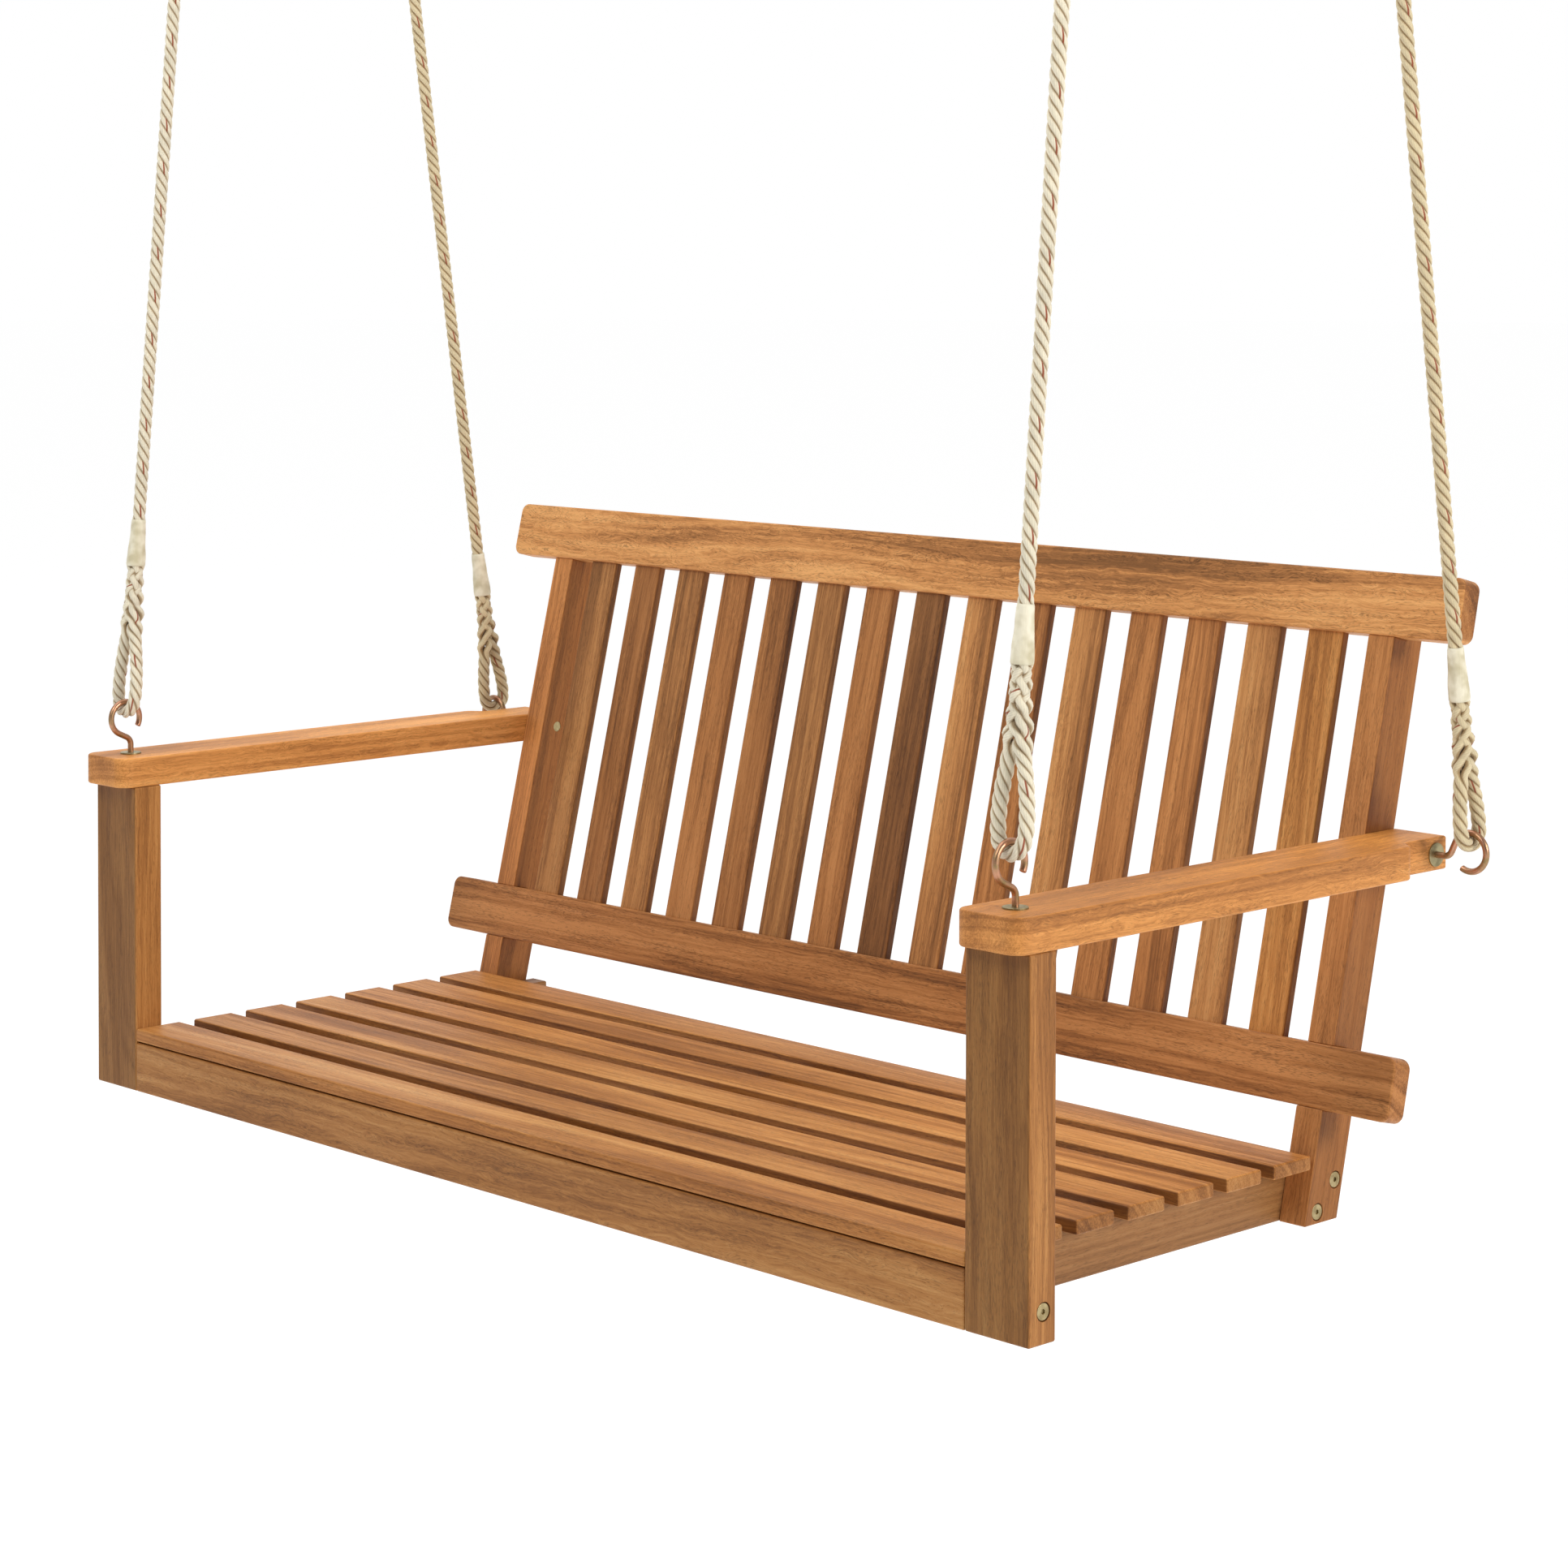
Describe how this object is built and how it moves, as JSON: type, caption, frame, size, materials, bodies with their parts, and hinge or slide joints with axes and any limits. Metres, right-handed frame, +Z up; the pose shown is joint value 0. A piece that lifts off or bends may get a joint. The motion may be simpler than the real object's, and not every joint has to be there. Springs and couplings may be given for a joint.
{
  "type": "porch swing seat",
  "caption": "Slatted wooden two-seat porch swing with flat arms and a reclined slatted back, hung by spliced ropes from screw hooks.",
  "frame": {"origin": "on the ceiling plane, midway between the screw shanks of the two front ceiling hooks", "axes": "+X to the right seen from the front, +Y from the front edge towards the backrest, +Z up"},
  "size_m": [1.2954, 0.5912, 1.342],
  "materials": {
    "seat_slat_wood": "satin",
    "back_slat_wood": "satin",
    "back_rail_wood": "satin",
    "arm_wood": "satin",
    "frame_wood": "satin",
    "coppered_steel": "satin",
    "washer_steel": "satin",
    "bolt_steel": "satin",
    "rope_fibre": "matte",
    "rope_tape": "satin"
  },
  "bodies": {
    "ceiling": {"ceiling_hook_front_left": "coppered_steel", "ceiling_hook_front_right": "coppered_steel", "ceiling_hook_rear_left": "coppered_steel", "ceiling_hook_rear_right": "coppered_steel"},
    "rope_front_left": {"rope_front_left": "rope_fibre", "rope_tape_front_left": "rope_tape"},
    "rope_front_right": {"rope_front_right": "rope_fibre", "rope_tape_front_right": "rope_tape"},
    "rope_rear_left": {"rope_rear_left": "rope_fibre", "rope_tape_rear_left": "rope_tape"},
    "rope_rear_right": {"rope_rear_right": "rope_fibre", "rope_tape_rear_right": "rope_tape"},
    "seat": {"arm_hook_front_left": "coppered_steel", "arm_hook_front_right": "coppered_steel", "arm_hook_rear_left": "coppered_steel", "arm_hook_rear_right": "coppered_steel", "arm_left": "arm_wood", "arm_right": "arm_wood", "arm_screws": "bolt_steel", "back_post_left": "frame_wood", "back_post_right": "frame_wood", "back_slat_1": "back_slat_wood", "back_slat_10": "back_slat_wood", "back_slat_11": "back_slat_wood", "back_slat_12": "back_slat_wood", "back_slat_13": "back_slat_wood", "back_slat_14": "back_slat_wood", "back_slat_15": "back_slat_wood", "back_slat_2": "back_slat_wood", "back_slat_3": "back_slat_wood", "back_slat_4": "back_slat_wood", "back_slat_5": "back_slat_wood", "back_slat_6": "back_slat_wood", "back_slat_7": "back_slat_wood", "back_slat_8": "back_slat_wood", "back_slat_9": "back_slat_wood", "barrel_nuts": "bolt_steel", "centre_rail": "frame_wood", "frame_bolts": "bolt_steel", "frame_nuts": "bolt_steel", "front_apron": "frame_wood", "front_post_left": "frame_wood", "front_post_right": "frame_wood", "hook_washers": "washer_steel", "lower_back_rail": "back_rail_wood", "rail_dowels": "frame_wood", "rail_screws": "bolt_steel", "seat_slat_1": "seat_slat_wood", "seat_slat_2": "seat_slat_wood", "seat_slat_3": "seat_slat_wood", "seat_slat_4": "seat_slat_wood", "seat_slat_5": "seat_slat_wood", "seat_slat_6": "seat_slat_wood", "seat_slat_7": "seat_slat_wood", "side_rail_left": "frame_wood", "side_rail_right": "frame_wood", "slat_screws": "bolt_steel", "top_back_rail": "back_rail_wood"}
  },
  "joints": [
    {"name": "front_left_rope_swing", "type": "hinge", "parent": "ceiling", "child": "rope_front_left", "pos_m": [-0.576, 0, -0.0505], "axis": [1, 0, 0], "range_deg": [-10, 10]},
    {"name": "front_right_rope_swing", "type": "hinge", "parent": "ceiling", "child": "rope_front_right", "pos_m": [0.576, 0, -0.0505], "axis": [1, 0, 0], "range_deg": [-10, 10]},
    {"name": "rear_left_rope_swing", "type": "hinge", "parent": "ceiling", "child": "rope_rear_left", "pos_m": [-0.629, 0.29412, -0.0505], "axis": [1, 0, 0], "range_deg": [-10, 10]},
    {"name": "rear_right_rope_swing", "type": "hinge", "parent": "ceiling", "child": "rope_rear_right", "pos_m": [0.629, 0.29412, -0.0505], "axis": [1, 0, 0], "range_deg": [-10, 10]},
    {"name": "seat_swing", "type": "hinge", "parent": "rope_front_left", "child": "seat", "pos_m": [-0.576, -0.07612, -0.946], "axis": [1, 0, 0], "range_deg": [-6, 6]}
  ],
  "couplings": [
    {"joint": "front_right_rope_swing", "follows": "front_left_rope_swing", "ratio": 1},
    {"joint": "rear_left_rope_swing", "follows": "front_left_rope_swing", "ratio": 0.98279},
    {"joint": "rear_right_rope_swing", "follows": "front_left_rope_swing", "ratio": 0.98279},
    {"joint": "seat_swing", "follows": "front_left_rope_swing", "ratio": -0.58814}
  ]
}
